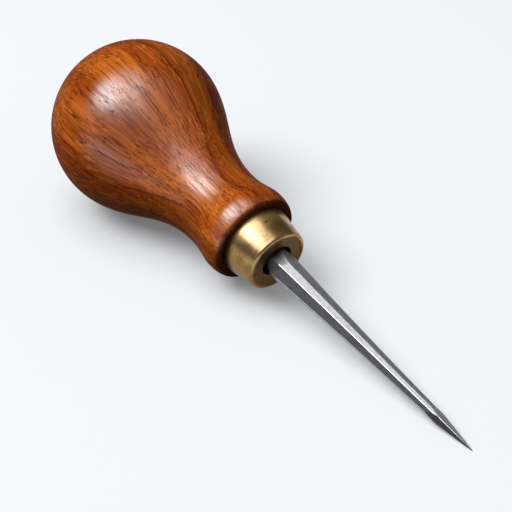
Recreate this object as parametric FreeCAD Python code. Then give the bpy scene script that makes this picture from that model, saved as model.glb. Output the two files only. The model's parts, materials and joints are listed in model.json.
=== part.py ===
"""A bradawl: a bulb-shaped turned hardwood handle, a tapered brass ferrule and a square steel blade.

The tool lies on the ground as it comes to rest, on its bulb and on its point.
+X runs along the tool towards the point, +Z is up, and the origin is at the middle of its footprint.
Each sub-part is first made about the tool's own axis, with the point towards +X and x = 0
at the ferrule's front plane. All sizes are in millimetres and all angles in degrees.
"""
import FreeCAD, Part
import math
import os

# Handle, set out backwards from the shoulder in front of its bead
BULB_RADIUS = 22.25
BULB_BACK = 21.7           # from the widest place to the back of the bulb
BULB_SETBACK = 48.8        # from the shoulder to the widest place of the bulb
BULB_FULLNESS = 13.0       # how far the bulb keeps its width on the neck's side
NECK_EASE = 16.2           # how far the waist keeps its width on the bulb's side
WAIST_RADIUS = 10.65
WAIST_SETBACK = 12.3
WAIST_EASE = 4.2           # how far the waist keeps its width on the bead's side
BEAD_RADIUS = 11.75
BEAD_SETBACK = 3.9
BEAD_EASE = 2.0            # how far the bead keeps its width on the waist's side
SHOULDER_RADIUS = 10.6

# Ferrule
FERRULE_FRONT_RADIUS = 7.9
FERRULE_REAR_RADIUS = 9.25
FERRULE_EXPOSED = 8.3      # from its front plane to the handle's shoulder
FERRULE_SEAT = 0.5         # how deep its rear edge is let into the shoulder
FERRULE_WALL = 1.1
FERRULE_FRONT_WALL = 1.2
FERRULE_BORE_RADIUS = 4.0
RIM_ROUND = 0.7
RIM_LIP = 0.3              # flat ring left between the rounded rim and the dished face
FACE_DISH = 0.2
BORE_EDGE = 0.25
SEAT_CLEARANCE = 0.15      # open groove between the ferrule and the wood around it

# Blade: a square bar with its four edges chamfered
BLADE_EXPOSED = 62.7       # from the ferrule's front plane to the tip
ROOT_FLATS = 6.3           # across opposite flats at the ferrule
ROOT_CHAMFERS = 6.8        # across opposite chamfers at the ferrule
POINT_FLATS = 2.37         # across opposite flats where the point is ground
POINT_CHAMFERS = 2.56
FACE_HOLLOW = 0.2          # how far the long faces dip below straight lines
POINT_LENGTH = 11.8
TIP_WIDTH = 0.15
BLADE_ROLL = -20.5         # turn of the flats about the tool's axis
POINT_ROLL = 6.0           # further turn of the point's four facets

# Tang, and the round mouth of the mortise that it is driven into
SOCKET_RADIUS = 4.4
SOCKET_DEPTH = 2.6
TANG_LENGTH = 38.0
TANG_ROOT = 4.4
TANG_END = 2.2

ALONG = FreeCAD.Vector(1, 0, 0)
ACROSS = FreeCAD.Vector(0, 1, 0)
ORIGIN = FreeCAD.Vector(0, 0, 0)
QUARTER_POLE = 0.5523      # pole distance that makes a curve with four poles a quarter round
OUTLINE_SAMPLES = 1000

SHOULDER_X = -FERRULE_EXPOSED
SEAT_X = SHOULDER_X - FERRULE_SEAT
FACE_X = -FACE_DISH
SPIGOT_X = FACE_X - FERRULE_FRONT_WALL
BLADE_SHOULDER_X = SPIGOT_X - SOCKET_DEPTH
TANG_END_X = BLADE_SHOULDER_X - TANG_LENGTH
POINT_X = BLADE_EXPOSED - POINT_LENGTH


def at(x, radius):
    """A point in the upright plane through the tool's axis."""
    return FreeCAD.Vector(x, 0, radius)


def straight(points):
    """Straight edges from point to point."""
    return [Part.makeLine(start, end) for start, end in zip(points, points[1:])]


def easy_curve(start, start_ease, end, end_ease):
    """A curve that runs along the tool's axis at both of its ends."""
    curve = Part.BezierCurve()
    curve.setPoles([start, at(start.x + start_ease, start.z), at(end.x - end_ease, end.z), end])
    return curve.toShape()


def quarter_round(face, side):
    """A quarter round from a point where it is square to the axis to one where it runs along it."""
    curve = Part.BezierCurve()
    face_pole = at(face.x, face.z + QUARTER_POLE * (side.z - face.z))
    side_pole = at(side.x + QUARTER_POLE * (face.x - side.x), side.z)
    curve.setPoles([face, face_pole, side_pole, side])
    return curve.toShape()


def turned(edges):
    """The solid that a closed outline sweeps around the tool's axis."""
    outline = Part.Wire(Part.__sortEdges__(edges))
    return Part.Face(outline).revolve(ORIGIN, ALONG, 360)


def ferrule_radius(x):
    """Outer radius of the ferrule's cone."""
    return FERRULE_FRONT_RADIUS + (FERRULE_REAR_RADIUS - FERRULE_FRONT_RADIUS) * x / SHOULDER_X


def spigot_radius(x):
    """Radius where the ferrule is pressed on to the handle's spigot."""
    return ferrule_radius(x) - FERRULE_WALL


def handle_outline():
    """The bare outline of the handle, from the back of the bulb to the shoulder."""
    back = at(SHOULDER_X - BULB_SETBACK - BULB_BACK, 0)
    widest = at(SHOULDER_X - BULB_SETBACK, BULB_RADIUS)
    waist = at(SHOULDER_X - WAIST_SETBACK, WAIST_RADIUS)
    bead = at(SHOULDER_X - BEAD_SETBACK, BEAD_RADIUS)
    shoulder = at(SHOULDER_X, SHOULDER_RADIUS)
    return [
        quarter_round(back, widest),
        easy_curve(widest, BULB_FULLNESS, waist, NECK_EASE),
        easy_curve(waist, WAIST_EASE, bead, BEAD_EASE),
        quarter_round(shoulder, bead),
    ]


def handle():
    """The turned handle, with its spigot for the ferrule and its mortise for the tang."""
    groove_radius = ferrule_radius(SHOULDER_X) + SEAT_CLEARANCE
    core = [
        at(SHOULDER_X, SHOULDER_RADIUS),
        at(SHOULDER_X, groove_radius),
        at(SEAT_X, groove_radius),
        at(SEAT_X, spigot_radius(SEAT_X)),
        at(SPIGOT_X, spigot_radius(SPIGOT_X)),
        at(SPIGOT_X, SOCKET_RADIUS),
        at(BLADE_SHOULDER_X, SOCKET_RADIUS),
        at(BLADE_SHOULDER_X, 0),
        at(SHOULDER_X - BULB_SETBACK - BULB_BACK, 0),
    ]
    return turned(handle_outline() + straight(core)).cut(tang())


def ferrule():
    """The brass cup that is pressed on to the spigot."""
    rim_radius = ferrule_radius(-RIM_ROUND)
    lip_radius = rim_radius - RIM_ROUND
    dish_radius = lip_radius - RIM_LIP
    rounded_rim = quarter_round(at(0, lip_radius), at(-RIM_ROUND, rim_radius))
    front = [
        at(0, lip_radius),
        at(0, dish_radius),
        at(FACE_X, dish_radius - FACE_DISH),
        at(FACE_X, FERRULE_BORE_RADIUS + BORE_EDGE),
        at(FACE_X - BORE_EDGE, FERRULE_BORE_RADIUS),
        at(SPIGOT_X, FERRULE_BORE_RADIUS),
        at(SPIGOT_X, spigot_radius(SPIGOT_X)),
        at(SEAT_X, spigot_radius(SEAT_X)),
        at(SEAT_X, ferrule_radius(SEAT_X)),
        at(-RIM_ROUND, rim_radius),
    ]
    return turned([rounded_rim] + straight(front))


def slice_between(upper_edges, roll):
    """The space between an outline above the axis and its mirror image, turned about the axis."""
    upper = Part.Wire(upper_edges)
    lower = upper.mirror(ORIGIN, FreeCAD.Vector(0, 0, 1))
    first, last = upper.OrderedVertexes[0].Point, upper.OrderedVertexes[-1].Point
    ends = [Part.makeLine(point, at(point.x, -point.z)) for point in (first, last)]
    outline = Part.Wire(Part.__sortEdges__(upper.Edges + lower.Edges + ends))
    face = Part.Face(outline)
    face.translate(ACROSS * -ROOT_CHAMFERS)
    solid = face.extrude(ACROSS * 2 * ROOT_CHAMFERS)
    solid.rotate(ORIGIN, ALONG, roll)
    return solid


def long_faces(root_width, point_width, roll):
    """Two opposite long faces of the blade, hollow along their taper."""
    root, end = at(0, root_width / 2), at(POINT_X, point_width / 2)
    middle = (root + end) / 2 - FreeCAD.Vector(0, 0, FACE_HOLLOW)
    edges = straight([at(BLADE_SHOULDER_X, root.z), root])
    edges.append(Part.Arc(root, middle, end).toShape())
    edges += straight([end, at(BLADE_EXPOSED, end.z)])
    return slice_between(edges, roll)


def point_faces(roll):
    """Two opposite facets of the ground point, run back past the root of the blade."""
    slope = (POINT_FLATS - TIP_WIDTH) / 2 / POINT_LENGTH
    run = BLADE_EXPOSED - BLADE_SHOULDER_X
    edges = straight([at(BLADE_SHOULDER_X, TIP_WIDTH / 2 + slope * run), at(BLADE_EXPOSED, TIP_WIDTH / 2)])
    return slice_between(edges, roll)


def square_at(x, width):
    """A square outline around the axis, turned as the blade is."""
    half = width / 2
    corners = [(-half, -half), (half, -half), (half, half), (-half, half), (-half, -half)]
    outline = Part.makePolygon([FreeCAD.Vector(x, y, z) for y, z in corners])
    outline.rotate(ORIGIN, ALONG, BLADE_ROLL)
    return outline


def tang():
    """The square tang inside the handle."""
    return Part.makeLoft([square_at(BLADE_SHOULDER_X, TANG_ROOT), square_at(TANG_END_X, TANG_END)], True, True)


def blade():
    """The chamfered square blade with its four-sided point and its tang."""
    quarter_turn, half_quarter = 90, 45
    body = long_faces(ROOT_FLATS, POINT_FLATS, BLADE_ROLL)
    for cutter in (
        long_faces(ROOT_FLATS, POINT_FLATS, BLADE_ROLL + quarter_turn),
        long_faces(ROOT_CHAMFERS, POINT_CHAMFERS, BLADE_ROLL + half_quarter),
        long_faces(ROOT_CHAMFERS, POINT_CHAMFERS, BLADE_ROLL + half_quarter + quarter_turn),
        point_faces(BLADE_ROLL + POINT_ROLL),
        point_faces(BLADE_ROLL + POINT_ROLL + quarter_turn),
    ):
        body = body.common(cutter)
    return body.fuse(tang()).removeSplitter()


def outline_points():
    """Points along the bare outline of the handle, close together."""
    return [point for edge in handle_outline() for point in edge.discretize(OUTLINE_SAMPLES)]


def resting_tilt():
    """How far the axis dips towards the point when the bulb and the tip both touch the ground."""
    roll = math.radians(BLADE_ROLL + POINT_ROLL)
    tip_drop = TIP_WIDTH / 2 * (abs(math.cos(roll)) + abs(math.sin(roll)))
    return max(math.atan2(p.z - tip_drop, BLADE_EXPOSED - p.x) for p in outline_points())


def laid_down(shape):
    """The shape tilted on to the ground, with the middle of the footprint at the origin."""
    tilt = resting_tilt()
    lowest = min(-p.x * math.sin(tilt) - p.z * math.cos(tilt) for p in outline_points())
    back = min(p.x * math.cos(tilt) - p.z * math.sin(tilt) for p in outline_points())
    front = BLADE_EXPOSED * math.cos(tilt)
    placed = shape.copy()
    placed.rotate(ORIGIN, ACROSS, math.degrees(tilt))
    placed.translate(FreeCAD.Vector(-(back + front) / 2, 0, -lowest))
    return placed


os.makedirs("parts", exist_ok=True)
for name, shape in {"handle": handle(), "ferrule": ferrule(), "blade": blade()}.items():
    laid_down(shape).exportStep(f"parts/{name}.step")
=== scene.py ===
"""The finished look of a bradawl: a lacquered bulb handle, a turned brass ferrule and a ground steel blade.

Lengths are in metres and angles in degrees unless a name or a docstring says otherwise. Every piece is
first shaped about the tool's own axis, with x = 0 at the ferrule's front plane and the point towards +X,
and is then laid down as the tool rests, on its bulb and on its point.
"""

import json
import logging
import math
from dataclasses import dataclass
from enum import Enum
from typing import Any, ClassVar, Mapping, Optional, Sequence, Tuple, Union

import bmesh
import bpy
from mathutils import Euler, Matrix, Vector
from mathutils.geometry import interpolate_bezier

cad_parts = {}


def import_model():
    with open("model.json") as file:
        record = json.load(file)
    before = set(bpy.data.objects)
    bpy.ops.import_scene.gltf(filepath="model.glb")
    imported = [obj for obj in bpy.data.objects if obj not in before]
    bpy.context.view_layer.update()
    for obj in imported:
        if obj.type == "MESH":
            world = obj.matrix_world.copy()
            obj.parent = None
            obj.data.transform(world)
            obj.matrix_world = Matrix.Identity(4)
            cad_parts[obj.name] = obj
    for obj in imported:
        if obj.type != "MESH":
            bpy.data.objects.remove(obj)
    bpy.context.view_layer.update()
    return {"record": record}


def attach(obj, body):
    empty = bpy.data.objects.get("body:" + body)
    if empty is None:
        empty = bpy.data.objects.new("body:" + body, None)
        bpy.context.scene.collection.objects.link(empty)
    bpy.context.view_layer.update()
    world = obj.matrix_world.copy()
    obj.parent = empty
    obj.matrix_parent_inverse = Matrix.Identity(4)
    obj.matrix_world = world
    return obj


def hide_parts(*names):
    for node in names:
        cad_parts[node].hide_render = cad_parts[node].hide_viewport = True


MM = 0.001
QUARTER_POLE = 0.5523  # pole distance that makes a curve with four poles a quarter round
WELD = 0.002 * MM  # points of a turned shape that are closer than this are one point
SNAP = 0.0001 * MM  # points that are closer than this to a cutting plane lie on it
SEED_SPREAD = (1.0, 2.7, 1.3)  # how far a noise's seed moves it along each axis

Triple = Tuple[float, float, float]
Colour = Triple
log = logging.getLogger("bradawl")


# ---------------------------------------------------------------- placing

@dataclass(frozen=True)
class ToolAxis:
    """Where the tool's own axis lies once the tool is at rest.

    Attributes:
        origin: The middle of the ferrule's front plane.
        tilt: How far the axis dips towards the point, in radians.
    """

    origin: Vector
    tilt: float

    @classmethod
    def from_record(cls, record: Mapping[str, Any], exposed: float) -> "ToolAxis":
        """Reads the axis from the mount at the tool's point.

        Args:
            record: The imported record.
            exposed: Length of the blade in front of the ferrule.

        Returns:
            The tool's axis at rest.
        """
        point = next(mount for mount in record["mounts"] if mount["name"] == "point")
        along = Vector(point["axis"]).normalized()
        return cls(Vector(point["pos_m"]) - along * exposed, math.atan2(-along.z, along.x))

    def lay_down(self, bm: bmesh.types.BMesh) -> None:
        """Moves a shape from the tool's own axis to where the tool rests."""
        matrix = Matrix.Translation(self.origin) @ Matrix.Rotation(self.tilt, 4, "Y")
        bmesh.ops.transform(bm, matrix=matrix, verts=bm.verts)


# ---------------------------------------------------------------- shader graphs

class Term:
    """A socket of a shader graph that takes part in arithmetic."""

    def __init__(self, graph: "Graph", socket: Optional[bpy.types.NodeSocket]) -> None:
        """Wraps one output socket of a graph, or none where a node has no outputs."""
        self.graph = graph
        self.socket = socket

    def _math(self, operation: str, *operands: "Operand") -> "Term":
        """Adds a Math node on the given operands."""
        return self.graph.add("ShaderNodeMath", {"operation": operation}, dict(enumerate(operands)))

    def __add__(self, other: "Operand") -> "Term":
        """This plus other."""
        return self._math("ADD", self, other)

    def __radd__(self, other: "Operand") -> "Term":
        """Other plus this."""
        return self._math("ADD", other, self)

    def __sub__(self, other: "Operand") -> "Term":
        """This less other."""
        return self._math("SUBTRACT", self, other)

    def __rsub__(self, other: "Operand") -> "Term":
        """Other less this."""
        return self._math("SUBTRACT", other, self)

    def __mul__(self, other: "Operand") -> "Term":
        """This times other."""
        return self._math("MULTIPLY", self, other)

    def __rmul__(self, other: "Operand") -> "Term":
        """Other times this."""
        return self._math("MULTIPLY", other, self)

    def __truediv__(self, other: "Operand") -> "Term":
        """This over other."""
        return self._math("DIVIDE", self, other)

    def __rtruediv__(self, other: "Operand") -> "Term":
        """Other over this."""
        return self._math("DIVIDE", other, self)

    def fraction(self) -> "Term":
        """What is left of this after its whole part."""
        return self._math("FRACT", self)

    def band(self, low: float, high: float) -> "Term":
        """A smooth step that is 0 at low and 1 at high, either way round."""
        sockets = {"Value": self, "From Min": low, "From Max": high}
        return self.graph.add("ShaderNodeMapRange", {"interpolation_type": "SMOOTHSTEP"}, sockets)


Operand = Union[Term, float]
Socket = Union[Term, float, Sequence[float]]


@dataclass(frozen=True)
class Layer:
    """One noise of a finish.

    Attributes:
        stretch: Features per millimetre along each axis of the tool.
        detail: How many finer noises are added.
        seed: Moves the pattern, so that two layers differ.
        roughness: How strong the finer noises are.
    """

    stretch: Triple
    detail: float
    seed: float
    roughness: float = 0.55


@dataclass(frozen=True)
class Mark:
    """A smooth step from no mark to a full one.

    Attributes:
        low: The value at which there is no mark.
        high: The value at which the mark is full. It may be the smaller one.
        share: How strong the full mark is.
    """

    low: float
    high: float
    share: float = 1.0

    def on(self, value: Term) -> Term:
        """How strongly a value marks the surface, from 0 to the mark's share."""
        return self.share * value.band(self.low, self.high)


@dataclass(frozen=True)
class RingEdge:
    """The dark edge that every ring ends in.

    Attributes:
        PEAK: The share of a ring at which it is darkest.
        start: The share of a ring after which it darkens.
        share: How dark the edge is.
    """

    PEAK: ClassVar[float] = 0.94

    start: float
    share: float

    def on(self, rings: Term) -> Term:
        """How dark the edges are, where rings grows by 1 from each to the next."""
        season = rings.fraction()
        return self.share * season.band(self.start, self.PEAK) * season.band(1.0, self.PEAK)


class Graph:
    """Builds the node graph of one material or world."""

    def __init__(self, tree: bpy.types.NodeTree) -> None:
        """Starts on an empty tree."""
        self.tree = tree
        tree.nodes.clear()

    def add(
        self,
        kind: str,
        settings: Optional[Mapping[str, Any]] = None,
        sockets: Optional[Mapping[Union[str, int], Socket]] = None,
        output: Union[str, int] = 0,
    ) -> Term:
        """Adds a node, makes its settings, and then fills its sockets.

        Args:
            kind: The node's type.
            settings: Its properties.
            sockets: A value or a link for each input, by name or by number.
            output: The output that the term stands for.

        Returns:
            The chosen output.
        """
        node = self.tree.nodes.new(kind)
        for name, value in (settings or {}).items():
            setattr(node, name, value)
        for name, value in (sockets or {}).items():
            if isinstance(value, Term):
                self.tree.links.new(value.socket, node.inputs[name])
            else:
                node.inputs[name].default_value = value
        return Term(self, node.outputs[output] if node.outputs else None)

    def vector(self, operation: str, *operands: Socket, output: Union[str, int] = 0) -> Term:
        """Adds a Vector Math node on the given operands."""
        return self.add("ShaderNodeVectorMath", {"operation": operation}, dict(enumerate(operands)), output)

    def mixed(self, factor: Operand, first: Union[Term, Colour], second: Union[Term, Colour]) -> Term:
        """Mixes two colours.

        Args:
            factor: How much of the second colour there is, from 0 to 1.
            first: The first colour.
            second: The second colour.

        Returns:
            The mixed colour.
        """
        first, second = (c if isinstance(c, Term) else (*c, 1.0) for c in (first, second))
        settings = {"data_type": "RGBA", "blend_type": "MIX", "clamp_factor": True}
        return self.add("ShaderNodeMix", settings, {0: factor, 6: first, 7: second}, output=2)

    def noise(self, where: Term, layer: Layer) -> Term:
        """A noise from 0 to 1 whose features are stretched along the axes.

        Args:
            where: The coordinates, in millimetres.
            layer: The noise's sizes.

        Returns:
            The noise.
        """
        shift = [spread * layer.seed for spread in SEED_SPREAD]
        scaled = self.add("ShaderNodeMapping", {}, {
            "Vector": where, "Scale": layer.stretch, "Location": shift})
        sockets = {"Vector": scaled, "Scale": 1.0, "Detail": layer.detail, "Roughness": layer.roughness}
        return self.add("ShaderNodeTexNoise", {"noise_dimensions": "3D"}, sockets)

    def tool_place(self, axis: ToolAxis) -> Term:
        """The place on the tool, in millimetres about its own axis."""
        return self.add("ShaderNodeMapping", {"vector_type": "TEXTURE"}, {
            "Vector": self.add("ShaderNodeTexCoord", output="Object"),
            "Location": axis.origin, "Rotation": (0.0, axis.tilt, 0.0), "Scale": (MM, MM, MM)})

    def slant(self) -> Term:
        """How far the surface turns away from the eye, from 0 to 1."""
        return self.add("ShaderNodeLayerWeight", {}, {"Blend": 0.5}, output="Facing")

    def split(self, vector: Term) -> Tuple[Term, Term, Term]:
        """The three parts of a vector."""
        node = self.add("ShaderNodeSeparateXYZ", {}, {0: vector}).socket.node
        return tuple(Term(self, socket) for socket in node.outputs)

    def surface(self, sockets: Mapping[str, Socket], height: Optional[Term] = None,
                depth: float = 0.0, strength: float = 1.0) -> None:
        """Ends the graph in a surface shader.

        Args:
            sockets: What feeds the shader.
            height: Relief from 0 to 1, if the surface has any.
            depth: How deep the relief is, in metres.
            strength: How much of the relief is felt.
        """
        values = dict(sockets)
        if height is not None:
            values["Normal"] = self.add("ShaderNodeBump", {}, {
                "Strength": strength, "Distance": depth, "Height": height})
        shader = self.add("ShaderNodeBsdfPrincipled", {}, values)
        self.add("ShaderNodeOutputMaterial", {}, {"Surface": shader})


def new_graph(name: str) -> Tuple[bpy.types.Material, Graph]:
    """Starts a material.

    Args:
        name: The material's name.

    Returns:
        The material and its empty graph.
    """
    material = bpy.data.materials.new(name)
    material.use_nodes = True
    return material, Graph(material.node_tree)


# ---------------------------------------------------------------- finishes

@dataclass(frozen=True)
class LacqueredWood:
    """Straight-grained red-brown hardwood under a satin lacquer. Lengths are in millimetres.

    Attributes:
        honey: The palest wood.
        russet: The wood between the pale clouds.
        heart_and_painted_shade: The dark wood near the tree's pith, which also shows on the end grain. It
            is also painted shade on the side of the handle away from the lamps and on the back of the bulb.
        umber: Late wood, veins and dark fibres.
        pore_and_painted_shade: Open pores, and the dirt and painted shade in the seam at the ferrule.
        fleck: Short bright threads.
        pith_distance: From the tool's axis to the pith.
        pith_angle: The pith's direction from straight down, towards +Y.
        wander_reach: How far the slow wandering moves the rings.
        heart_wander: How far it moves the border of the heartwood.
        bulb_x: Behind this place the grain has its full width.
        neck_x: In front of this place the grain is drawn in by neck_squeeze.
        vein_count: How many rings the veins' noise is cut into.
        heartwood_and_painted_shade_mark: The heartwood, by the distance from the pith less pith_distance.
            As the pith lies on the side away from the lamps, it is also painted shade there.
        end_grain_and_painted_shade_mark: The darker end grain at the back of the bulb, along the axis,
            which is also painted shade on the bulb's back.
        seam_dirt_and_painted_shade_mark: Dirt and painted shade in the seam at the ferrule, along the axis.
        fibre_dulls: Where fibres break the lacquer.
        end_dulls: Where end grain drinks the lacquer, along the axis.
        underside_painted_shade_dulls: Painted shade: less lacquer on the underside, so that it shows less
            of the floor's reflection, by the squeezed height over the axis.
        hand_rear: The rear end of the place that the fingers rub dull, along the axis.
        hand_front: Its front end.
        sheen: The lacquer's sheen, by the slant.
    """

    honey: Colour = (0.70, 0.166, 0.018)
    russet: Colour = (0.450, 0.080, 0.007)
    heart_and_painted_shade: Colour = (0.110, 0.016, 0.001)
    umber: Colour = (0.070, 0.012, 0.002)
    pore_and_painted_shade: Colour = (0.020, 0.005, 0.001)
    fleck: Colour = (0.85, 0.30, 0.060)
    pith_distance: float = 66.4
    pith_angle: float = 38.0
    wander_reach: float = 6.0
    heart_wander: float = 5.0
    bulb_x: float = -57.0
    neck_x: float = -25.0
    neck_squeeze: float = 1.8
    ring_width: float = 8.0
    fine_ring_width: float = 1.15
    vein_count: float = 10.0
    wander: Layer = Layer((0.014, 0.045, 0.045), 2.0, 3.1)
    ripple: Layer = Layer((0.045, 0.42, 0.42), 3.0, 7.4)
    veins: Layer = Layer((0.012, 0.30, 0.30), 2.5, 33.0)
    fibre: Layer = Layer((0.022, 1.15, 1.15), 3.0, 1.7, 0.62)
    thread: Layer = Layer((0.040, 1.9, 1.9), 2.0, 5.9)
    cloud: Layer = Layer((0.020, 0.12, 0.12), 3.0, 11.3)
    pore_lines: Layer = Layer((0.009, 1.25, 1.25), 0.5, 21.5)
    pore_breaks: Layer = Layer((0.055, 0.50, 0.50), 2.0, 15.8)
    pore_dashes: Layer = Layer((0.050, 2.6, 2.6), 0.0, 27.1)
    late_edge: RingEdge = RingEdge(0.25, 0.26)
    line_edge: RingEdge = RingEdge(0.89, 0.46)
    fine_edge: RingEdge = RingEdge(0.45, 0.18)
    vein_edge: RingEdge = RingEdge(0.74, 0.62)
    cloud_mark: Mark = Mark(0.36, 0.62)
    heartwood_and_painted_shade_mark: Mark = Mark(22.5, 8.5, 0.70)
    end_grain_and_painted_shade_mark: Mark = Mark(-56.0, -70.0, 0.42)
    fibre_mark: Mark = Mark(0.50, 0.64, 0.45)
    thread_mark: Mark = Mark(0.42, 0.32, 0.45)
    seam_dirt_and_painted_shade_mark: Mark = Mark(-9.4, -8.5, 0.80)
    pore_line_below: Mark = Mark(0.472, 0.5)
    pore_line_above: Mark = Mark(0.528, 0.5)
    pore_break_mark: Mark = Mark(0.42, 0.56)
    pore_dash_mark: Mark = Mark(0.69, 0.74, 0.3)
    fibre_dulls: Mark = Mark(0.44, 0.60, 0.45)
    end_dulls: Mark = Mark(-58.0, -70.0, 0.65)
    underside_painted_shade_dulls: Mark = Mark(6.0, -8.0, 0.75)
    hand_rear: Mark = Mark(-48.0, -38.0, 0.42)
    hand_front: Mark = Mark(-22.0, -31.0)
    sheen: Mark = Mark(0.34, 0.12, 0.97)

    def material(self, axis: ToolAxis) -> bpy.types.Material:
        """Builds the wood about the tool's axis.

        Args:
            axis: The tool's axis, which the grain follows.

        Returns:
            The material.
        """
        material, graph = new_graph("handle_wood_finish")
        place = self._grain_place(graph, axis)
        along, _, above = graph.split(place)
        fibre, thread = graph.noise(place, self.fibre), graph.noise(place, self.thread)
        pores, seam = self._pores(graph, place), self.seam_dirt_and_painted_shade_mark.on(along)
        tone = self._growth(graph, place, along)
        tone = graph.mixed(self.fibre_mark.on(fibre), tone, self.umber)
        tone = graph.mixed(self.thread_mark.on(thread), tone, self.fleck)
        tone = graph.mixed(0.85 * pores, tone, self.pore_and_painted_shade)
        # dirt and painted shade: the wood darkens in the seam next to the ferrule, and its lacquer dulls
        # there
        tone = graph.mixed(seam, tone, self.pore_and_painted_shade)
        gloss = (1.0 - 0.75 * pores) * (1.0 - seam) * (1.0 - self.fibre_dulls.on(fibre))
        # painted shade: the lacquer's sheen is cut on the underside, which hides the floor's reflection
        # there
        gloss = gloss * (1.0 - self.end_dulls.on(along)) * (1.0 - self.underside_painted_shade_dulls.on(above))
        gloss = gloss * (1.0 - self.hand_rear.on(along) * self.hand_front.on(along))
        graph.surface(
            {
                "Base Color": tone,
                "Roughness": 0.42 + 0.16 * fibre + 0.20 * pores,
                "IOR": 1.15,
                "Specular IOR Level": 0.06,
                "Coat Weight": gloss * (0.03 + self.sheen.on(graph.slant())),
                "Coat Roughness": 0.28,
                "Coat IOR": 2.1,
            },
            height=0.5 + 0.18 * thread - 0.55 * pores - 0.12 * fibre,
            depth=0.14 * MM,
            strength=0.5,
        )
        return material

    def _grain_place(self, graph: Graph, axis: ToolAxis) -> Term:
        """The place on the tool, with the grain drawn in where the handle narrows.

        Args:
            graph: The graph that it is built in.
            axis: The tool's axis.

        Returns:
            The place, in millimetres.
        """
        place = graph.tool_place(axis)
        drawn_in = graph.split(place)[0].band(self.bulb_x, self.neck_x)
        squeeze = 1.0 + (self.neck_squeeze - 1.0) * drawn_in
        factors = graph.add("ShaderNodeCombineXYZ", {}, {"X": 1.0, "Y": squeeze, "Z": squeeze})
        return graph.vector("MULTIPLY", place, factors)

    def _growth(self, graph: Graph, place: Term, along: Term) -> Term:
        """The wood's colour as the tree grew it: clouds, heartwood, rings and veins.

        Args:
            graph: The graph that it is built in.
            place: The place in the grain.
            along: The place along the tool's axis.

        Returns:
            The colour.
        """
        wander = graph.noise(place, self.wander)
        distance = self._pith_distance(graph, place)
        grown = distance + self.wander_reach * wander + graph.noise(place, self.ripple)
        rings, fine_rings = grown / self.ring_width, grown / self.fine_ring_width
        veins = self.vein_count * graph.noise(place, self.veins)
        # painted shade: the heartwood darkens the side of the handle that faces away from the lamps
        heart_and_painted_shade = self.heartwood_and_painted_shade_mark.on(distance + self.heart_wander * wander - self.pith_distance)
        tone = graph.mixed(self.cloud_mark.on(graph.noise(place, self.cloud)), self.russet, self.honey)
        # the end grain also paints shade on the back of the bulb
        tone = graph.mixed(heart_and_painted_shade + self.end_grain_and_painted_shade_mark.on(along), tone, self.heart_and_painted_shade)
        tone = graph.mixed(self.late_edge.on(rings) + self.line_edge.on(rings), tone, self.umber)
        tone = graph.mixed(self.fine_edge.on(fine_rings), tone, self.umber)
        return graph.mixed(self.vein_edge.on(veins), tone, self.umber)

    def _pith_distance(self, graph: Graph, place: Term) -> Term:
        """Distance from the tree's pith, which runs along the tool well below it.

        Args:
            graph: The graph that it is built in.
            place: The place in the grain.

        Returns:
            The distance, in millimetres.
        """
        angle = math.radians(self.pith_angle)
        pith = (0.0, self.pith_distance * math.sin(angle), -self.pith_distance * math.cos(angle))
        across = graph.vector("MULTIPLY", place, (0.0, 1.0, 1.0))
        return graph.vector("DISTANCE", across, pith, output="Value")

    def _pores(self, graph: Graph, place: Term) -> Term:
        """Open pores, as broken dark lines and short dashes along the grain.

        Args:
            graph: The graph that it is built in.
            place: The place in the grain.

        Returns:
            How open the wood is, from 0 to 1.
        """
        lines, breaks, dashes = (
            graph.noise(place, layer) for layer in (self.pore_lines, self.pore_breaks, self.pore_dashes))
        line = self.pore_line_below.on(lines) * self.pore_line_above.on(lines)
        return line * self.pore_break_mark.on(breaks) + self.pore_dash_mark.on(dashes)


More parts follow.
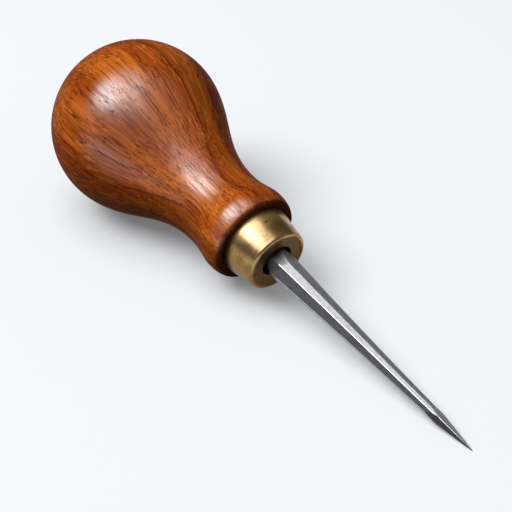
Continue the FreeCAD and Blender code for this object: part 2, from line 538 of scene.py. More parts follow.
@dataclass(frozen=True)
class TurnedBrass:
    """Lathe-turned brass, lightly tarnished and darker in its sunk face, with painted shade underneath and
    painted light on its top next to the handle. Lengths are in millimetres.

    Attributes:
        bright: Clean brass.
        tarnish_and_painted_shade: Tarnished brass, which is also the colour of the painted shade under the
            ferrule.
        painted_light_brass: Painted light: a paler brass on the ferrule's top close to the handle, where
            the bead darkens the brass's reflection.
        sunk: The dark front face.
        nick: Small knocks.
        face_edge: Where the sunk face begins, by the distance from the axis.
        face_depth: How deep it reaches, along the axis.
        underside_painted_shade_mark: Painted shade under the ferrule, by the height over the axis.
        painted_light_rear: Where the painted light lies, along the axis.
        painted_light_top: The same, by the height over the axis.
        sheen: The wax's sheen, by the slant.
    """

    bright: Colour = (0.45, 0.275, 0.090)
    tarnish_and_painted_shade: Colour = (0.215, 0.108, 0.025)
    painted_light_brass: Colour = (0.80, 0.53, 0.20)
    sunk: Colour = (0.120, 0.062, 0.016)
    nick: Colour = (0.06, 0.03, 0.012)
    turning: Layer = Layer((7.0, 0.10, 0.10), 3.0, 2.3)
    fine: Layer = Layer((16.0, 0.16, 0.16), 1.0, 8.2)
    stain: Layer = Layer((0.22, 0.30, 0.30), 4.0, 4.6)
    nicks: Layer = Layer((3.6, 0.40, 0.40), 1.0, 12.9)
    face_edge: Mark = Mark(7.3, 7.05)
    face_depth: Mark = Mark(-1.2, -0.42)
    nick_mark: Mark = Mark(0.655, 0.70)
    stain_mark: Mark = Mark(0.38, 0.62, 0.80)
    underside_painted_shade_mark: Mark = Mark(4.0, -2.5, 0.85)
    turning_mark: Mark = Mark(0.48, 0.70, 0.45)
    painted_light_rear: Mark = Mark(-3.5, -8.0, 0.80)
    painted_light_top: Mark = Mark(2.0, 6.0)
    sheen: Mark = Mark(0.36, 0.14, 0.62)

    def material(self, axis: ToolAxis) -> bpy.types.Material:
        """Builds the brass about the tool's axis.

        Args:
            axis: The tool's axis, which the turning marks go round.

        Returns:
            The material.
        """
        material, graph = new_graph("ferrule_brass_finish")
        place = graph.tool_place(axis)
        x, y, z = graph.split(place)
        across = graph.add("ShaderNodeCombineXYZ", {}, {"Y": y, "Z": z})
        radius = graph.vector("LENGTH", across, output="Value")
        turning, fine, stain, nicks = (
            graph.noise(place, layer) for layer in (self.turning, self.fine, self.stain, self.nicks))
        nicked = self.nick_mark.on(nicks)
        sunk = self.face_edge.on(radius) * self.face_depth.on(x)
        colour = graph.mixed(self.stain_mark.on(stain), self.bright, self.tarnish_and_painted_shade)
        # painted shade: the underside of the ferrule is darkened with the tarnished colour
        colour = graph.mixed(self.underside_painted_shade_mark.on(z), colour, self.tarnish_and_painted_shade)
        colour = graph.mixed(self.turning_mark.on(turning), colour, self.tarnish_and_painted_shade)
        # painted light: the top of the ferrule next to the handle is lightened against the bead's shade
        colour = graph.mixed(self.painted_light_rear.on(x) * self.painted_light_top.on(z), colour, self.painted_light_brass)
        colour = graph.mixed(0.90 * sunk, colour, self.sunk)
        colour = graph.mixed(0.70 * nicked, colour, self.nick)
        waxed = (1.0 - 0.95 * sunk) * (1.15 - 0.5 * fine)
        graph.surface(
            {
                "Base Color": colour,
                "Metallic": 1.0,
                "Roughness": 0.20 + 0.12 * turning + 0.10 * stain + 0.12 * sunk,
                "Coat Weight": waxed * (0.02 + self.sheen.on(graph.slant())),
                "Coat Roughness": 0.25,
                "Coat IOR": 2.1,
            },
            height=0.6 * turning + 0.3 * fine - 0.5 * nicked,
            depth=0.03 * MM,
            strength=0.45,
        )
        return material


class Facet(Enum):
    """How each kind of face on the blade is ground, as the share of bright steel in it."""

    FLAT = 0.0
    CHAMFER = 0.80
    RUN_OUT = 0.86
    EDGE = 1.0


@dataclass(frozen=True)
class GroundSteel:
    """Dark scaled flats with bright ground chamfers. Lengths are in millimetres.

    Attributes:
        scale: The dark skin of the flats.
        ground: Bright ground steel.
        stain: Stains and specks, and the colour of the painted shade at the ferrule and on the darkest
            point facets.
        POLISH_AND_PAINTED_LIGHT: The faces' attribute that holds their share of bright steel, with the
            painted light and shade of each flat and point facet. Below 0 they get painted shade.
        root_painted_shade_mark: Painted shade at the ferrule's hole, along the axis.
        facet_painted_shade_mark: Painted shade on faces that are darker than scale, by the
            polish_and_painted_light value.
        edge_mark: How much smoother the brightest edges are, by the polish_and_painted_light value.
    """

    POLISH_AND_PAINTED_LIGHT: ClassVar[str] = "polish_and_painted_light"

    scale: Colour = (0.100, 0.101, 0.106)
    ground: Colour = (0.56, 0.56, 0.58)
    stain: Colour = (0.030, 0.028, 0.028)
    lines: Layer = Layer((0.05, 9.0, 9.0), 3.0, 1.9, 0.6)
    mottle: Layer = Layer((0.8, 1.6, 1.6), 4.0, 6.3)
    specks: Layer = Layer((2.2, 4.4, 4.4), 1.0, 9.7)
    mottle_mark: Mark = Mark(0.44, 0.70, 0.55)
    speck_mark: Mark = Mark(0.68, 0.76)
    root_painted_shade_mark: Mark = Mark(0.4, -0.6, 0.75)
    facet_painted_shade_mark: Mark = Mark(0.0, -0.2)
    edge_mark: Mark = Mark(0.90, 1.0, 0.36)

    def material(self, axis: ToolAxis) -> bpy.types.Material:
        """Builds the steel about the tool's axis.

        Args:
            axis: The tool's axis, which the grinding marks run along.

        Returns:
            The material.
        """
        material, graph = new_graph("blade_steel_finish")
        place = graph.tool_place(axis)
        x, _, _ = graph.split(place)
        polish_and_painted_light = graph.add("ShaderNodeAttribute", {"attribute_name": self.POLISH_AND_PAINTED_LIGHT}, output="Fac")
        lines, mottle = graph.noise(place, self.lines), graph.noise(place, self.mottle)
        specks = self.speck_mark.on(graph.noise(place, self.specks))
        colour = graph.mixed(polish_and_painted_light * (0.90 + 0.14 * lines), self.scale, self.ground)
        colour = graph.mixed(self.mottle_mark.on(mottle) * (1.0 - 0.7 * polish_and_painted_light), colour, self.stain)
        colour = graph.mixed(0.50 * specks * (1.0 - 0.8 * polish_and_painted_light), colour, self.stain)
        # painted shade: the blade darkens towards the ferrule's hole
        colour = graph.mixed(self.root_painted_shade_mark.on(x), colour, self.stain)
        # painted shade: faces below 0 are stained darker than scale
        colour = graph.mixed(self.facet_painted_shade_mark.on(polish_and_painted_light), colour, self.stain)
        roughness = 0.40 + 0.20 * polish_and_painted_light - self.edge_mark.on(polish_and_painted_light)
        graph.surface(
            {
                "Base Color": colour,
                "Metallic": 0.15 + 0.85 * polish_and_painted_light * polish_and_painted_light,
                "Roughness": roughness + 0.12 * (lines - 0.5),
            },
            height=lines - 0.5 * specks,
            depth=0.02 * MM,
            strength=0.35,
        )
        return material


# ---------------------------------------------------------------- shaping

def outline_curve(start: Vector, start_pole: Vector, end_pole: Vector, end: Vector,
                  steps: int) -> list[Vector]:
    """Points along one curve of an outline, with its end left to the next one."""
    return interpolate_bezier(start, start_pole, end_pole, end, steps + 1)[:-1]


def at(x: float, radius: float) -> Vector:
    """A point of an outline, above the tool's axis."""
    return Vector((x, 0.0, radius))


def quarter_round(face: Vector, side: Vector, steps: int) -> list[Vector]:
    """A quarter of an oval between a face and a side of a turned shape.

    Args:
        face: The point where the curve leaves a face that is square to the axis.
        side: The point where it meets a side that runs along the axis.
        steps: How many steps it has.

    Returns:
        The curve's points from the face on, without its end.
    """
    face_pole = at(face.x, face.z + QUARTER_POLE * (side.z - face.z))
    side_pole = at(side.x + QUARTER_POLE * (face.x - side.x), side.z)
    return outline_curve(face, face_pole, side_pole, side, steps)


def turned(outline: Sequence[Vector], steps: int) -> bmesh.types.BMesh:
    """Spins an outline around the tool's axis.

    Args:
        outline: Points above the axis, in order.
        steps: How many steps a full turn has.

    Returns:
        The turned shape.
    """
    bm = bmesh.new()
    points = [bm.verts.new(point) for point in outline]
    edges = [bm.edges.new(pair) for pair in zip(points, points[1:])]
    bmesh.ops.spin(bm, geom=points + edges, cent=(0, 0, 0), axis=(1, 0, 0), dvec=(0, 0, 0),
                   angle=math.tau, steps=steps, use_merge=True, use_duplicate=False)
    bmesh.ops.remove_doubles(bm, verts=bm.verts, dist=WELD)
    return bm


def soften(bm: bmesh.types.BMesh, edges: Sequence[bmesh.types.BMEdge], offset: float) -> None:
    """Takes the sharpness off some edges."""
    bmesh.ops.bevel(bm, geom=edges, offset=offset, offset_type="OFFSET", segments=2,
                    profile=0.5, affect="EDGES", material=-1, clamp_overlap=True)


def cut_across(bm: bmesh.types.BMesh, place: Vector, normal: Vector,
               clear_front: bool = False) -> list[bmesh.types.BMEdge]:
    """Cuts a shape along a plane.

    Args:
        bm: The shape.
        place: A point of the plane.
        normal: The way that the plane looks.
        clear_front: Whether what is in front of the plane goes.

    Returns:
        The edges that lie on the plane.
    """
    geometry = bm.verts[:] + bm.edges[:] + bm.faces[:]
    cut = bmesh.ops.bisect_plane(bm, geom=geometry, dist=SNAP, plane_co=place, plane_no=normal,
                                 clear_outer=clear_front)
    return [item for item in cut["geom_cut"] if isinstance(item, bmesh.types.BMEdge)]


def as_object(name: str, bm: bmesh.types.BMesh) -> bpy.types.Object:
    """Makes an object of a shape.

    Args:
        name: The object's name.
        bm: The shape. It is freed.

    Returns:
        The object, in the scene.
    """
    mesh = bpy.data.meshes.new(name)
    bm.to_mesh(mesh)
    bm.free()
    made = bpy.data.objects.new(name, mesh)
    bpy.context.scene.collection.objects.link(made)
    return made


# ---------------------------------------------------------------- pieces

@dataclass(frozen=True)
class Piece:
    """How a shaped piece becomes an object on the tool.

    Attributes:
        name: The piece's name.
        node: The sub-part that it stands for.
        slot: A material slot's name, which is not used.
        smooth_below: Edges that turn by less than this look round.
    """

    name: str
    node: str
    slot: str
    smooth_below: float

    def finish(self, bm: bmesh.types.BMesh, axis: ToolAxis,
               material: bpy.types.Material) -> bpy.types.Object:
        """Lays the shape down and dresses it.

        Args:
            bm: The shape about the tool's own axis. It is freed.
            axis: The tool's axis at rest.
            material: The finish.

        Returns:
            The finished object.
        """
        axis.lay_down(bm)
        bmesh.ops.recalc_face_normals(bm, faces=bm.faces)
        piece = as_object(self.name, bm)
        piece.data.shade_smooth()
        piece.data.set_sharp_from_angle(angle=math.radians(self.smooth_below))
        piece.data.materials.append(material)
        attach(piece, "root")
        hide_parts(self.node)
        return piece


@dataclass(frozen=True)
class Ferrule:
    """The brass cup in front of the handle. Its sizes are about the tool's own axis."""

    PIECE: ClassVar[Piece] = Piece("ferrule_brass_cup", "ferrule", "ferrule_brass", smooth_below=40.0)

    front_radius: float = 7.9 * MM
    rear_radius: float = 9.25 * MM
    exposed: float = 8.3 * MM
    seat: float = 0.5 * MM
    wall: float = 1.1 * MM
    front_wall: float = 1.2 * MM
    bore_radius: float = 4.0 * MM
    rim_round: float = 0.7 * MM
    rim_lip: float = 0.3 * MM
    face_dish: float = 0.2 * MM
    bore_edge: float = 0.25 * MM
    edge_round: float = 0.06 * MM
    crease_angle: float = 25.0
    rim_steps: int = 8
    turn_steps: int = 192

    @property
    def shoulder_x(self) -> float:
        """Where the handle's shoulder stands."""
        return -self.exposed

    @property
    def seat_x(self) -> float:
        """Where the ferrule's rear edge ends."""
        return self.shoulder_x - self.seat

    @property
    def spigot_x(self) -> float:
        """Where the handle's spigot ends inside the ferrule."""
        return -self.face_dish - self.front_wall

    def outer_radius(self, x: float) -> float:
        """Radius of the outer cone at a place along the axis."""
        return self.front_radius + (self.rear_radius - self.front_radius) * x / self.shoulder_x

    def inner_radius(self, x: float) -> float:
        """Radius where the ferrule meets the spigot."""
        return self.outer_radius(x) - self.wall

    def build(self, axis: ToolAxis, finish: TurnedBrass) -> bpy.types.Object:
        """Turns the ferrule and dresses it.

        Args:
            axis: The tool's axis at rest.
            finish: The brass.

        Returns:
            The finished object.
        """
        bm = turned(self._outline(), self.turn_steps)
        bmesh.ops.recalc_face_normals(bm, faces=bm.faces)
        crease = math.radians(self.crease_angle)
        soften(bm, [edge for edge in bm.edges if edge.calc_face_angle(0.0) > crease], self.edge_round)
        return self.PIECE.finish(bm, axis, finish.material(axis))

    def _outline(self) -> list[Vector]:
        """The outline of the cup's wall.

        Returns:
            The outline's points, with the first one again at the end.
        """
        rim_radius = self.outer_radius(-self.rim_round)
        lip_radius = rim_radius - self.rim_round
        dish_radius = lip_radius - self.rim_lip
        inside_and_face = [
            at(self.seat_x, self.inner_radius(self.seat_x)),
            at(self.spigot_x, self.inner_radius(self.spigot_x)),
            at(self.spigot_x, self.bore_radius),
            at(-self.face_dish - self.bore_edge, self.bore_radius),
            at(-self.face_dish, self.bore_radius + self.bore_edge),
            at(-self.face_dish, dish_radius - self.face_dish),
            at(0.0, dish_radius),
        ]
        rim = quarter_round(at(0.0, lip_radius), at(-self.rim_round, rim_radius), self.rim_steps)
        cone = [at(x, self.outer_radius(x)) for x in (-self.rim_round, self.seat_x)]
        return inside_and_face + rim + cone + inside_and_face[:1]


@dataclass(frozen=True)
class Blade:
    """The chamfered square blade, with its ground point and its tang.

    Attributes:
        roll: The flats' turn about the tool's axis.
        point_roll: The further turn of the point's facets.
        ridge_share: How far out the strips along the point's ridges lie, as a share of a sharp ridge.
        shoulder_step: The length over which the blade steps down to the tang.
        scoop_radius: Radius of the round cutter that scoops out the end of a chamfer.
        scoop_reach: How far in front of the ferrule a scoop ends.
        scoop_slope: How steeply it falls towards the ferrule.
        scoop_offset: How far it lies to one side.
        scoop_rear: How far it goes on behind the ferrule's front plane.
        flat_painted_light: Painted light: the share of bright steel on each of the four flats, set flat by
            flat for how the light falls on it.
        point_painted_light_and_shade: The same for the point's four facets. Below 0 they are painted darker
            than scale, as painted shade.
        long_edge_angle: The least turn of an edge that is softened.
        long_edge_rear: Behind this place the edges stay sharp.
        long_edge_lie: How nearly a softened edge lies along the axis, where 1 is exactly.
        point_run_up: How far behind point_x a face may lie and still be one of the point's.
        point_lean: The least lean of the point's faces, as a share of the facets' slope.
        facet_within: How far a face may be turned from a facet and still be part of it.
        flat_within: The same for the flats and the chamfers.
        run_out_lean: The least lean towards the handle of a face that is part of a scoop.
    """

    PIECE: ClassVar[Piece] = Piece("blade_ground_steel", "blade", "blade_steel", smooth_below=4.0)

    exposed: float = 62.7 * MM
    root_flats: float = 6.3 * MM
    root_chamfers: float = 6.8 * MM
    point_flats: float = 2.37 * MM
    point_chamfers: float = 2.56 * MM
    face_hollow: float = 0.2 * MM
    point_length: float = 11.8 * MM
    tip_width: float = 0.15 * MM
    roll: float = -20.5
    point_roll: float = 6.0
    ridge_share: float = 0.95
    socket_depth: float = 2.6 * MM
    tang_length: float = 38.0 * MM
    tang_root: float = 4.4 * MM
    tang_end: float = 2.2 * MM
    tang_edge: float = 0.15 * MM
    shoulder_step: float = 0.02 * MM
    edge_round: float = 0.11 * MM
    scoop_radius: float = 3.4 * MM
    scoop_reach: float = 4.4 * MM
    scoop_slope: float = 0.225
    scoop_offset: float = 0.53 * MM
    scoop_rear: float = 3.2 * MM
    scoop_front: float = 9.0 * MM
    # painted light and shade, flat by flat and facet by facet
    flat_painted_light: Tuple[float, ...] = (0.24, 0.0, 0.12, 0.02)
    point_painted_light_and_shade: Tuple[float, ...] = (0.42, -0.20, 0.15, -0.05)
    long_edge_angle: float = 20.0
    long_edge_rear: float = -2.0 * MM
    long_edge_lie: float = 0.9
    point_run_up: float = 2.0 * MM
    point_lean: float = 0.8
    facet_within: float = 20.0
    flat_within: float = 4.0
    run_out_lean: float = 0.01
    taper_steps: int = 18
    scoop_steps: int = 144

    def build(self, axis: ToolAxis, finish: GroundSteel, ferrule: Ferrule) -> bpy.types.Object:
        """Grinds the blade and dresses it.

        Args:
            axis: The tool's axis at rest.
            finish: The steel.
            ferrule: The ferrule, whose hole the blade comes out of.

        Returns:
            The finished object.
        """
        bm = self._bar(ferrule.spigot_x - self.socket_depth)
        self._soften_long_edges(bm)
        self._grind_point(bm)
        bm = self._with_scoops(bm)
        self._mark_facets(bm, finish)
        return self.PIECE.finish(bm, axis, finish.material(axis))

    @property
    def point_x(self) -> float:
        """Where the point's facets begin."""
        return self.exposed - self.point_length

    @property
    def point_slope(self) -> float:
        """How steeply the point's facets close in."""
        return (self.point_flats - self.tip_width) / 2 / self.point_length

    def _widths(self, x: float, shoulder_x: float) -> Tuple[float, float]:
        """Widths across the flats and across the chamfers at a place along the axis.

        Args:
            x: The place along the axis.
            shoulder_x: Where the blade ends and the tang begins.

        Returns:
            The width across opposite flats and across opposite chamfers.
        """
        if x < shoulder_x - self.shoulder_step / 2:
            share = (shoulder_x - x) / self.tang_length
            flats = self.tang_root + (self.tang_end - self.tang_root) * share
            return flats, math.sqrt(2) * flats - self.tang_edge
        share = min(max(x / self.point_x, 0.0), 1.0)
        dip = 2 * self.face_hollow * 4 * share * (1 - share)  # on both sides, deepest halfway along
        flats = self.root_flats + (self.point_flats - self.root_flats) * share - dip
        chamfers = self.root_chamfers + (self.point_chamfers - self.root_chamfers) * share - dip
        return flats, chamfers

    def _bar(self, shoulder_x: float) -> bmesh.types.BMesh:
        """The chamfered bar with its hollow taper and its tang, square at both ends.

        Args:
            shoulder_x: Where the blade ends and the tang begins.

        Returns:
            The bar's shape.
        """
        rear = shoulder_x - self.tang_length
        turn = Matrix.Rotation(math.pi / 2, 4, "Y") @ Matrix.Rotation(math.pi / 8, 4, "Z")
        lay = Matrix.Translation(((rear + self.exposed) / 2, 0, 0)) @ turn
        bm = bmesh.new()
        bmesh.ops.create_cone(bm, cap_ends=True, cap_tris=False, segments=8, radius1=MM, radius2=MM,
                              depth=self.exposed - rear, matrix=lay)
        stations = [shoulder_x - self.shoulder_step, shoulder_x]
        stations += [self.point_x * step / self.taper_steps for step in range(self.taper_steps + 1)]
        for x in stations:
            cut_across(bm, Vector((x, 0, 0)), Vector((1, 0, 0)))
        for vert in bm.verts:
            vert.co = self._corner(vert.co, *self._widths(vert.co.x, shoulder_x))
        bm.normal_update()
        return bm

    def _corner(self, place: Vector, flats: float, chamfers: float) -> Vector:
        """The corner of the blade's section that lies the same way from the axis as a place.

        Args:
            place: One of eight places around the axis, evenly spaced.
            flats: Width across opposite flats.
            chamfers: Width across opposite chamfers.

        Returns:
            The corner.
        """
        corner = round(math.degrees(math.atan2(-place.y, place.z)) / 45 + 0.5)
        quarter, far_end = divmod(corner, 2)
        side = (chamfers / math.sqrt(2) - flats / 2) * (1 if far_end else -1)
        turn = Matrix.Rotation(math.radians(self.roll + 90 * quarter), 3, "X")
        return turn @ Vector((place.x, -side, flats / 2))

    def _soften_long_edges(self, bm: bmesh.types.BMesh) -> None:
        """Takes the sharpness off the edges that run along the blade.

        Args:
            bm: The bar.
        """
        least_turn = math.radians(self.long_edge_angle)
        edges = [
            edge for edge in bm.edges
            if edge.calc_face_angle(0.0) > least_turn
            and min(vert.co.x for vert in edge.verts) > self.long_edge_rear
            and abs((edge.verts[0].co - edge.verts[1].co).normalized().x) > self.long_edge_lie
        ]
        soften(bm, edges, self.edge_round)

    def _grind_point(self, bm: bmesh.types.BMesh) -> None:
        """Cuts the point's four facets, and a narrow strip along each ridge between them.

        Args:
            bm: The softened bar.
        """
        for turn in range(8):
            reach = self.ridge_share * math.sqrt(2) if turn % 2 else 1.0
            angle = math.radians(self.roll + self.point_roll + 45 * turn)
            outward = Vector((0, -math.sin(angle), math.cos(angle)))
            normal = (outward + Vector((self.point_slope * reach, 0, 0))).normalized()
            place = Vector((self.exposed, 0, 0)) + outward * self.tip_width / 2 * reach
            bmesh.ops.contextual_create(bm, geom=cut_across(bm, place, normal, clear_front=True))

    def _with_scoops(self, bm: bmesh.types.BMesh) -> bmesh.types.BMesh:
        """Scoops out each chamfer where it runs out at the ferrule.

        Args:
            bm: The ground blade. It is freed.

        Returns:
            The scooped blade.
        """
        cutters = bmesh.new()
        for quarter in range(4):
            self._add_scoop(cutters, self.roll + 45 + 90 * quarter)
        blade, cutter = as_object("blade_bar", bm), as_object("blade_scoops", cutters)
        cut = blade.modifiers.new("scoops", "BOOLEAN")
        cut.object = cutter
        cut.operation = "DIFFERENCE"
        cut.solver = "EXACT"
        scooped = bmesh.new()
        scooped.from_object(blade, bpy.context.evaluated_depsgraph_get())
        for spare in (blade, cutter):
            mesh = spare.data
            bpy.data.objects.remove(spare)
            bpy.data.meshes.remove(mesh)
        return scooped

    def _add_scoop(self, cutters: bmesh.types.BMesh, angle: float) -> None:
        """Adds the round cutter that scoops out one chamfer.

        Args:
            cutters: Where the cutter goes.
            angle: The chamfer's angle from upright, towards -Y.
        """
        length = self.scoop_rear + self.scoop_front
        depth_at_front = self.root_chamfers / 2 - self.scoop_slope * self.scoop_reach
        along_tool = Matrix.Rotation(math.pi / 2, 4, "Y")
        lie = Matrix.Translation((length / 2 - self.scoop_rear, 0, 0)) @ along_tool
        lean = Matrix.Rotation(-math.atan(self.scoop_slope), 4, "Y")
        rise = Matrix.Translation((0, self.scoop_offset, depth_at_front + self.scoop_radius))
        matrix = Matrix.Rotation(math.radians(angle), 4, "X") @ rise @ lean @ lie
        bmesh.ops.create_cone(cutters, cap_ends=True, cap_tris=False, segments=self.scoop_steps,
                              radius1=self.scoop_radius, radius2=self.scoop_radius, depth=length,
                              matrix=matrix)

    def _mark_facets(self, bm: bmesh.types.BMesh, finish: GroundSteel) -> None:
        """Marks on each face how brightly it is ground, with the painted light and shade of each flat and
        point facet.

        Args:
            bm: The finished blade.
            finish: The steel, which reads the marks.
        """
        layer = bm.faces.layers.float.new(finish.POLISH_AND_PAINTED_LIGHT)
        bm.normal_update()
        for face in bm.faces:
            face[layer] = self._polish_and_painted_light(face.normal, face.calc_center_median())

    def _polish_and_painted_light(self, normal: Vector, middle: Vector) -> float:
        """The share of bright steel in a face, with the painted light and shade of each flat and facet,
        from where it looks and where it is.

        Args:
            normal: The way that the face looks.
            middle: The middle of the face.

        Returns:
            The share, which differs a little from flat to flat as painted light and shade.
        """
        from_flat = math.degrees(math.atan2(-normal.y, normal.z)) - self.roll
        off_flat = abs((from_flat + 45) % 90 - 45)
        off_facet = abs((from_flat - self.point_roll + 45) % 90 - 45)
        quarter = int((from_flat + 45) % 360 // 90)
        # painted light and shade: each flat and point facet takes its own brightness for how the light
        # falls on it
        if normal.x > self.point_lean * self.point_slope and middle.x > self.point_x - self.point_run_up:
            facet = Facet.FLAT.value + self.point_painted_light_and_shade[quarter]
            return facet if off_facet < self.facet_within else Facet.EDGE.value
        if off_flat < self.flat_within:
            return Facet.FLAT.value + self.flat_painted_light[quarter]
        if off_flat > 45 - self.flat_within:
            return Facet.CHAMFER.value
        scooped = middle.x < self.scoop_reach and normal.x < -self.run_out_lean
        return (Facet.RUN_OUT if scooped else Facet.EDGE).value


@dataclass(frozen=True)
class Handle:
    """The turned handle, set out backwards from the shoulder in front of its bead.

    Attributes:
        bulb_back: From the bulb's widest place to its back.
        bulb_fullness: How far the bulb keeps its width on the neck's side.
        neck_ease: How far the waist keeps its width on the bulb's side.
        waist_ease: How far the waist keeps its width on the bead's side.
        bead_ease: How far the bead keeps its width on the waist's side.
        seat_clearance: The open groove between the ferrule and the wood around it.
    """

    PIECE: ClassVar[Piece] = Piece("handle_lacquered_wood", "handle", "handle_wood", smooth_below=35.0)

    bulb_radius: float = 22.25 * MM
    bulb_back: float = 21.7 * MM
    bulb_setback: float = 48.8 * MM
    bulb_fullness: float = 13.0 * MM
    neck_ease: float = 16.2 * MM
    waist_radius: float = 10.65 * MM
    waist_setback: float = 12.3 * MM
    waist_ease: float = 4.2 * MM
    bead_radius: float = 11.75 * MM
    bead_setback: float = 3.9 * MM
    bead_ease: float = 2.0 * MM
    shoulder_radius: float = 10.6 * MM
    seat_clearance: float = 0.15 * MM
    socket_radius: float = 4.4 * MM
    edge_round: float = 0.12 * MM
    bulb_steps: int = 40
    neck_steps: int = 56
    waist_steps: int = 20
    bead_steps: int = 14
    turn_steps: int = 256

    def build(self, axis: ToolAxis, finish: LacqueredWood, ferrule: Ferrule,
              blade: Blade) -> bpy.types.Object:
        """Turns the handle and dresses it.

        Args:
            axis: The tool's axis at rest.
            finish: The lacquered wood.
            ferrule: The ferrule, which the spigot fits.
            blade: The blade, whose tang the mortise fits.

        Returns:
            The finished object.
        """
        bm = turned(self._bare_outline(ferrule) + self._core_outline(ferrule, blade), self.turn_steps)
        self._cut_mortise(bm, blade)
        bmesh.ops.recalc_face_normals(bm, faces=bm.faces)
        return self.PIECE.finish(bm, axis, finish.material(axis))

    def _bare_outline(self, ferrule: Ferrule) -> list[Vector]:
        """The outline that shows, from the back of the bulb to the shoulder.

        Args:
            ferrule: The ferrule, which gives the shoulder's place.

        Returns:
            The outline's points.
        """
        shoulder_x = ferrule.shoulder_x
        back = at(shoulder_x - self.bulb_setback - self.bulb_back, 0.0)
        widest = at(shoulder_x - self.bulb_setback, self.bulb_radius)
        waist = at(shoulder_x - self.waist_setback, self.waist_radius)
        bead = at(shoulder_x - self.bead_setback, self.bead_radius)
        shoulder = at(shoulder_x, self.shoulder_radius)
        bulb = quarter_round(back, widest, self.bulb_steps)
        neck = outline_curve(widest, at(widest.x + self.bulb_fullness, widest.z),
                             at(waist.x - self.neck_ease, waist.z), waist, self.neck_steps)
        hollow = outline_curve(waist, at(waist.x + self.waist_ease, waist.z),
                               at(bead.x - self.bead_ease, bead.z), bead, self.waist_steps)
        nose = quarter_round(shoulder, bead, self.bead_steps)[::-1]
        return bulb + neck + hollow + [bead] + nose

    def _core_outline(self, ferrule: Ferrule, blade: Blade) -> list[Vector]:
        """The outline under the ferrule, from the seat's groove to the bottom of the socket.

        Args:
            ferrule: The ferrule, which the spigot fits.
            blade: The blade, which the socket makes room for.

        Returns:
            The outline's points.
        """
        groove = ferrule.outer_radius(ferrule.shoulder_x) + self.seat_clearance
        return [
            at(ferrule.shoulder_x, groove + self.edge_round),
            at(ferrule.shoulder_x - self.edge_round, groove),
            at(ferrule.seat_x, groove),
            at(ferrule.seat_x, ferrule.inner_radius(ferrule.seat_x)),
            at(ferrule.spigot_x, ferrule.inner_radius(ferrule.spigot_x)),
            at(ferrule.spigot_x, self.socket_radius),
            at(ferrule.spigot_x - blade.socket_depth, self.socket_radius),
        ]

    def _cut_mortise(self, bm: bmesh.types.BMesh, blade: Blade) -> None:
        """Closes the bottom of the socket with a square mortise for the tang.

        Args:
            bm: The turned handle, open at the bottom of its socket.
            blade: The blade, whose tang the mortise fits.
        """
        rim = [edge for edge in bm.edges if edge.is_boundary]
        root_x = rim[0].verts[0].co.x
        for x, width in ((root_x, blade.tang_root), (root_x - blade.tang_length, blade.tang_end)):
            drawn = bmesh.ops.extrude_edge_only(bm, edges=rim)["geom"]
            rim = [item for item in drawn if isinstance(item, bmesh.types.BMEdge)]
            for vert in (item for item in drawn if isinstance(item, bmesh.types.BMVert)):
                vert.co = self._on_square(vert.co, x, width / 2, blade.roll)
        bmesh.ops.contextual_create(bm, geom=rim)

    @staticmethod
    def _on_square(place: Vector, x: float, half: float, roll: float) -> Vector:
        """The point of a square outline that lies the same way from the axis as a place.

        Args:
            place: A place beside the axis.
            x: Where the square is along the axis.
            half: Half of the square's width.
            roll: The square's turn about the axis.

        Returns:
            The point on the square.
        """
        turn = Matrix.Rotation(math.radians(roll), 3, "X")
        flat = turn.inverted() @ Vector((0, place.y, place.z))
        flat *= half / max(abs(flat.y), abs(flat.z))
        return turn @ flat + Vector((x, 0, 0))


# ---------------------------------------------------------------- studio

@dataclass(frozen=True)
class Softbox:
    """A round lamp, and where it hangs.

    Attributes:
        name: The lamp's name.
        width: Its diameter.
        level: The light that it throws on what faces it, as a white sheet's brightness.
        azimuth: Its direction from the tool, from +X towards +Y.
        elevation: Its direction over the floor.
        distance: How far from the tool it hangs.
    """

    name: str
    width: float
    level: float
    azimuth: float
    elevation: float
    distance: float = 2.0

    def build(self) -> None:
        """Hangs the lamp."""
        azimuth, elevation = math.radians(self.azimuth), math.radians(self.elevation)
        level_reach = math.cos(elevation)
        towards = Vector((level_reach * math.cos(azimuth), level_reach * math.sin(azimuth),
                          math.sin(elevation)))
        light = bpy.data.lights.new(self.name, "AREA")
        light.shape = "DISK"
        light.size = self.width
        light.energy = self.level * math.pi ** 2 * (self.distance ** 2 + self.width ** 2 / 4)
        lamp = bpy.data.objects.new(self.name, light)
        lamp.location = towards * self.distance
        lamp.rotation_euler = towards.to_track_quat("Z", "Y").to_euler()
        bpy.context.scene.collection.objects.link(lamp)


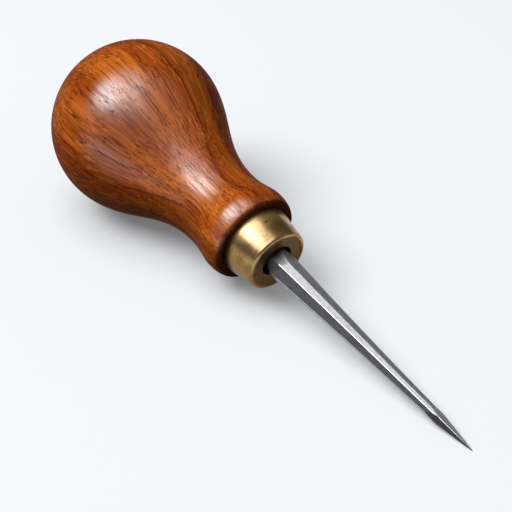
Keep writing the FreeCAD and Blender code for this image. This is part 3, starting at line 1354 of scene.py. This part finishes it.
@dataclass(frozen=True)
class Studio:
    """A pale floor that fades to a pale distance, under two soft lamps, in a dim room.

    Attributes:
        floor_size: The floor's side.
        floor_seen: The floor's colour, as the eye and shiny things see it.
        floor_glow: A little light of its own that the floor is seen with.
        floor_bounce: The floor's colour, as it throws light back on the tool.
        backdrop: The pale distance.
        distance_mark: Where the floor fades to the pale distance.
        lamps: The lamps.
        room_tint: The colour of the room.
        room_low: The room's level below.
        room_high: The room's level overhead.
        overhead_mark: How the room lightens upwards.
        horizon_mark: How far over the horizon shiny things see the pale distance.
    """

    floor_size: float = 8.0
    floor_seen: Colour = (0.800, 0.825, 0.850)
    floor_glow: Colour = (0.140, 0.145, 0.150)
    floor_bounce: Colour = (0.20, 0.203, 0.206)
    backdrop: Colour = (0.895, 0.925, 0.955)
    distance_mark: Mark = Mark(0.3, 1.1)
    lamps: Tuple[Softbox, ...] = (
        Softbox("softbox", 2.1, 0.47, -120.0, 70.0),
        Softbox("softbox_middle", 1.2, 0.35, -114.0, 54.0),
    )
    room_tint: Colour = (0.98, 0.99, 1.0)
    room_low: float = 0.11
    room_high: float = 0.28
    overhead_mark: Mark = Mark(-0.2, 1.0)
    horizon_mark: Mark = Mark(0.10, 0.0)

    def build(self) -> None:
        """Lays the floor, hangs the lamps and lights the room."""
        self._floor()
        for lamp in self.lamps:
            lamp.build()
        self._room()

    def _floor(self) -> None:
        """A level sheet just under the tool."""
        bm = bmesh.new()
        bmesh.ops.create_grid(bm, x_segments=1, y_segments=1, size=self.floor_size / 2)
        floor = as_object("floor", bm)
        material, graph = new_graph("floor_paper")
        seen = self._rays(graph, "Camera", "Glossy", "Transmission")
        away = graph.vector("LENGTH", graph.add("ShaderNodeTexCoord", output="Object"), output="Value")
        far = self.distance_mark.on(away)
        dark = (0.0, 0.0, 0.0)
        graph.surface({
            "Base Color": graph.mixed(seen, self.floor_bounce, graph.mixed(far, self.floor_seen, dark)),
            "Emission Color": graph.mixed(seen, dark, graph.mixed(far, self.floor_glow, self.backdrop)),
            "Emission Strength": 1.0,
            "Roughness": 0.9,
            "Specular IOR Level": 0.0,
        })
        floor.data.materials.append(material)

    @staticmethod
    def _rays(graph: Graph, *kinds: str) -> Term:
        """1 for rays of the given kinds, and 0 for others."""
        rays = [graph.add("ShaderNodeLightPath", output=f"Is {kind} Ray") for kind in kinds]
        return sum(rays[1:], rays[0])

    def _room(self) -> None:
        """A room that is dim at the horizon and lighter overhead, and pale where it is seen."""
        world = bpy.data.worlds.new("room")
        world.use_nodes = True
        bpy.context.scene.world = world
        graph = Graph(world.node_tree)
        _, _, up = graph.split(graph.add("ShaderNodeTexCoord", output="Generated"))
        level = self.room_low + (self.room_high - self.room_low) * self.overhead_mark.on(up)
        seen = self._rays(graph, "Glossy", "Transmission") * self.horizon_mark.on(up)
        seen = self._rays(graph, "Camera") + seen
        _, pale, _ = self.backdrop
        level = level + seen * (pale - level)
        sockets = {"Color": (*self.room_tint, 1.0), "Strength": level}
        background = graph.add("ShaderNodeBackground", {}, sockets)
        graph.add("ShaderNodeOutputWorld", {}, {"Surface": background})


@dataclass(frozen=True)
class Viewpoint:
    """Where the photograph was taken from.

    Attributes:
        place: The camera's place.
        azimuth: The way that it looks, from +Y towards -X.
        elevation: How steeply it looks down.
        view_angle: What it sees from side to side.
        sensor_width: The sensor's width, in millimetres.
        nearest: The nearest thing that it sees.
    """

    place: Triple = (0.16514, -0.13174, 0.16319)
    azimuth: float = 51.409
    elevation: float = 36.176
    view_angle: float = 26.0
    sensor_width: float = 36.0
    nearest: float = 0.01

    def build(self) -> None:
        """Sets up the camera."""
        data = bpy.data.cameras.new("camera")
        data.sensor_width = self.sensor_width
        data.lens = self.sensor_width / 2 / math.tan(math.radians(self.view_angle) / 2)
        data.clip_start = self.nearest
        camera = bpy.data.objects.new("camera", data)
        camera.location = self.place
        camera.rotation_euler = Euler((math.radians(90 - self.elevation), 0.0, math.radians(self.azimuth)))
        bpy.context.scene.collection.objects.link(camera)
        bpy.context.scene.camera = camera


# ---------------------------------------------------------------- the whole

def main() -> None:
    """Builds the tool piece by piece, and then the studio around it."""
    logging.basicConfig(level=logging.INFO, format="%(name)s: %(message)s")
    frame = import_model()
    bpy.context.scene.view_settings.view_transform = "Standard"
    ferrule, blade, handle = Ferrule(), Blade(), Handle()
    axis = ToolAxis.from_record(frame["record"], blade.exposed)
    pieces = (
        handle.build(axis, LacqueredWood(), ferrule, blade),
        ferrule.build(axis, TurnedBrass()),
        blade.build(axis, GroundSteel(), ferrule),
    )
    for piece in pieces:
        log.info("%s: %d faces", piece.name, len(piece.data.polygons))
    Studio().build()
    Viewpoint().build()


if __name__ == "__main__":
    main()
